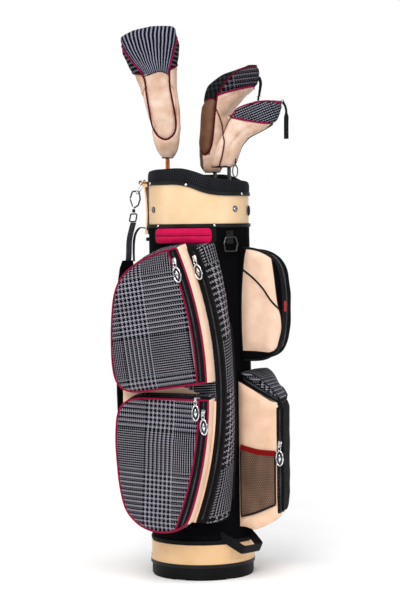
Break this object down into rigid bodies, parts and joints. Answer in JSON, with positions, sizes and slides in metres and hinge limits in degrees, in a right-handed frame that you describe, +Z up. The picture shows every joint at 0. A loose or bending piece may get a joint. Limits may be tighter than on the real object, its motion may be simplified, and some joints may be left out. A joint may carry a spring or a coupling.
{
  "type": "golf club set",
  "caption": "Golf cart bag with plaid and beige pockets, shoulder strap and moulded collar, holding a driver, a fairway wood and a hybrid under fabric headcovers.",
  "frame": {"origin": "on the axis of the bag's tube, at the floor under the boot", "axes": "+Z up along the tube, -Y towards the two stacked ball pockets, +X towards the beige side pockets, -X towards the shoulder strap"},
  "size_m": [0.392, 0.3207, 1.204],
  "materials": {
    "boot": "matte",
    "beige_shell": "satin",
    "black_trim": "satin",
    "black_fabric": "matte",
    "plaid": "matte",
    "beige_fabric": "satin",
    "mesh": "matte",
    "pink": "matte",
    "chrome": "polished",
    "gold": "polished",
    "strap": "matte",
    "grip_rubber": "matte",
    "copper_shaft": "gloss",
    "black_shaft": "gloss",
    "head": "gloss"
  },
  "bodies": {
    "bag": {"base_boot": "boot", "base_shell": "beige_shell", "base_bead": "black_trim", "body_tube": "black_fabric", "tube_floor": "black_fabric", "collar_shell": "beige_shell", "collar_lower_trim": "black_trim", "collar_upper_trim": "black_trim", "rim_pad": "black_fabric", "collar_fasteners": "chrome", "collar_handle": "beige_shell", "divider_panels": "black_fabric", "divider_top": "black_fabric", "garment_pocket": "plaid", "upper_ball_pocket": "plaid", "lower_ball_pocket": "plaid", "side_upper_pocket": "beige_fabric", "side_lower_pocket": "beige_fabric", "mesh_pouch": "mesh", "strap_side_pocket": "black_fabric", "zip_tapes": "black_fabric", "grab_handle": "pink", "towel_ring_tab": "black_fabric", "strap_anchor": "gold", "strap_link": "chrome", "strap_swivel": "chrome", "shoulder_strap": "strap"},
    "cooler_lid": {"cooler_lid": "plaid"},
    "towel_ring": {"towel_ring": "black_trim"},
    "lift_loop": {"lift_loop": "strap"},
    "snap_hook": {"snap_hook": "chrome"},
    "snap_gate": {"snap_gate": "chrome"},
    "upper_slider": {"upper_zip_slider": "chrome"},
    "upper_pull": {"upper_zip_pull": "chrome"},
    "garment_slider": {"garment_zip_slider": "chrome"},
    "garment_pull": {"garment_zip_pull": "chrome"},
    "lower_slider": {"lower_zip_slider": "chrome"},
    "lower_pull": {"lower_zip_pull": "chrome"},
    "side_slider": {"side_zip_slider": "chrome"},
    "side_pull": {"side_zip_pull": "chrome"},
    "top_slider": {"top_zip_slider": "chrome"},
    "top_pull": {"top_zip_pull": "chrome"},
    "driver": {"driver_grip": "grip_rubber", "driver_shaft": "copper_shaft", "driver_head": "head"},
    "driver_cover": {"driver_cover": "plaid", "driver_cover_neck": "beige_fabric"},
    "fairway": {"fairway_grip": "grip_rubber", "fairway_shaft": "black_shaft", "fairway_head": "head"},
    "fairway_cover": {"fairway_cover": "plaid", "fairway_cover_neck": "beige_fabric"},
    "hybrid": {"hybrid_grip": "grip_rubber", "hybrid_shaft": "black_shaft", "hybrid_head": "head"},
    "hybrid_cover": {"hybrid_cover": "plaid", "hybrid_cover_neck": "beige_fabric"},
    "fairway_tag": {"fairway_tag": "black_trim"},
    "hybrid_tag": {"hybrid_tag": "black_trim"}
  },
  "joints": [
    {"name": "cooler_lid_hinge", "type": "hinge", "parent": "bag", "child": "cooler_lid", "pos_m": [0.1128, 0.035, 0.4475], "axis": [0, -1, 0], "range_deg": [0, 42]},
    {"name": "towel_ring_swing", "type": "hinge", "parent": "bag", "child": "towel_ring", "pos_m": [0.10272, -0.05302, 0.74], "axis": [-0.4587, -0.8886, 0], "range_deg": [0, 100]},
    {"name": "lift_loop_swing", "type": "hinge", "parent": "bag", "child": "lift_loop", "pos_m": [0.11032, -0.03585, 0.087], "axis": [-0.309, -0.9511, 0], "range_deg": [0, 10]},
    {"name": "hook_swivel", "type": "hinge", "parent": "bag", "child": "snap_hook", "pos_m": [-0.1413, -0.04, 0.8], "axis": [0, 0, 1], "range_deg": [-8, 8]},
    {"name": "gate_hinge", "type": "hinge", "parent": "snap_hook", "child": "snap_gate", "pos_m": [-0.144, -0.04, 0.809], "axis": [0, 1, 0], "range_deg": [0, 35], "stiffness_Nm_per_rad": 0.02, "springref_deg": -11.46},
    {"name": "upper_zip_run", "type": "hinge", "parent": "bag", "child": "upper_slider", "pos_m": [-0.636, -0.195, 0.41], "axis": [0, 1, 0], "range_deg": [0, 19.5]},
    {"name": "garment_zip_run", "type": "hinge", "parent": "bag", "child": "garment_slider", "pos_m": [-0.636, -0.153, 0.41], "axis": [0, 1, 0], "range_deg": [0, 42]},
    {"name": "lower_zip_run", "type": "hinge", "parent": "bag", "child": "lower_slider", "pos_m": [-0.636, -0.182, 0.41], "axis": [0, 1, 0], "range_deg": [0, 18.5]},
    {"name": "top_zip_run", "type": "slide", "parent": "bag", "child": "top_slider", "axis": [-1, 0, 0], "range_m": [0, 0.138]},
    {"name": "side_zip_run", "type": "slide", "parent": "bag", "child": "side_slider", "axis": [0, 0, -1], "range_m": [-0.066, 0.096]},
    {"name": "upper_pull_hinge", "type": "hinge", "parent": "upper_slider", "child": "upper_pull", "pos_m": [0.04125, -0.2004, 0.693], "axis": [-0.9703, 0, -0.2419], "range_deg": [0, 110]},
    {"name": "garment_pull_hinge", "type": "hinge", "parent": "garment_slider", "child": "garment_pull", "pos_m": [0.06773, -0.1584, 0.697], "axis": [-0.9563, 0, -0.2924], "range_deg": [0, 110]},
    {"name": "lower_pull_hinge", "type": "hinge", "parent": "lower_slider", "child": "lower_pull", "pos_m": [0.09812, -0.1874, 0.374], "axis": [-0.9976, 0, -0.0698], "range_deg": [0, 110]},
    {"name": "side_pull_hinge", "type": "hinge", "parent": "side_slider", "child": "side_pull", "pos_m": [0.2055, -0.0384, 0.296], "axis": [-1, 0, 0], "range_deg": [0, 110]},
    {"name": "top_pull_hinge", "type": "hinge", "parent": "top_slider", "child": "top_pull", "pos_m": [0.08, -0.1774, 0.4029], "axis": [-1, 0, 0], "range_deg": [0, 100]},
    {"name": "driver_lift", "type": "slide", "parent": "bag", "child": "driver", "axis": [0, 0, 1], "range_m": [0, 0.88]},
    {"name": "driver_cover_off", "type": "slide", "parent": "driver", "child": "driver_cover", "axis": [0, 0, 1], "range_m": [0, 0.3], "deforming": ["driver_cover_neck"]},
    {"name": "fairway_lift", "type": "slide", "parent": "bag", "child": "fairway", "axis": [0, 0, 1], "range_m": [0, 0.88]},
    {"name": "fairway_cover_off", "type": "slide", "parent": "fairway", "child": "fairway_cover", "axis": [0, 0, 1], "range_m": [0, 0.225], "deforming": ["fairway_cover_neck"]},
    {"name": "hybrid_lift", "type": "slide", "parent": "bag", "child": "hybrid", "axis": [0, 0, 1], "range_m": [0, 0.88]},
    {"name": "hybrid_cover_off", "type": "slide", "parent": "hybrid", "child": "hybrid_cover", "axis": [0, 0, 1], "range_m": [0, 0.145], "deforming": ["hybrid_cover_neck"]},
    {"name": "fairway_tag_swing", "type": "hinge", "parent": "fairway_cover", "child": "fairway_tag", "pos_m": [0.10422, 0.10399, 1.09], "axis": [0.454, -0.891, 0], "range_deg": [0, 60]},
    {"name": "hybrid_tag_swing", "type": "hinge", "parent": "hybrid_cover", "child": "hybrid_tag", "pos_m": [0.18131, 0.05763, 1.027], "axis": [0.454, -0.891, 0], "range_deg": [0, 34]}
  ]
}
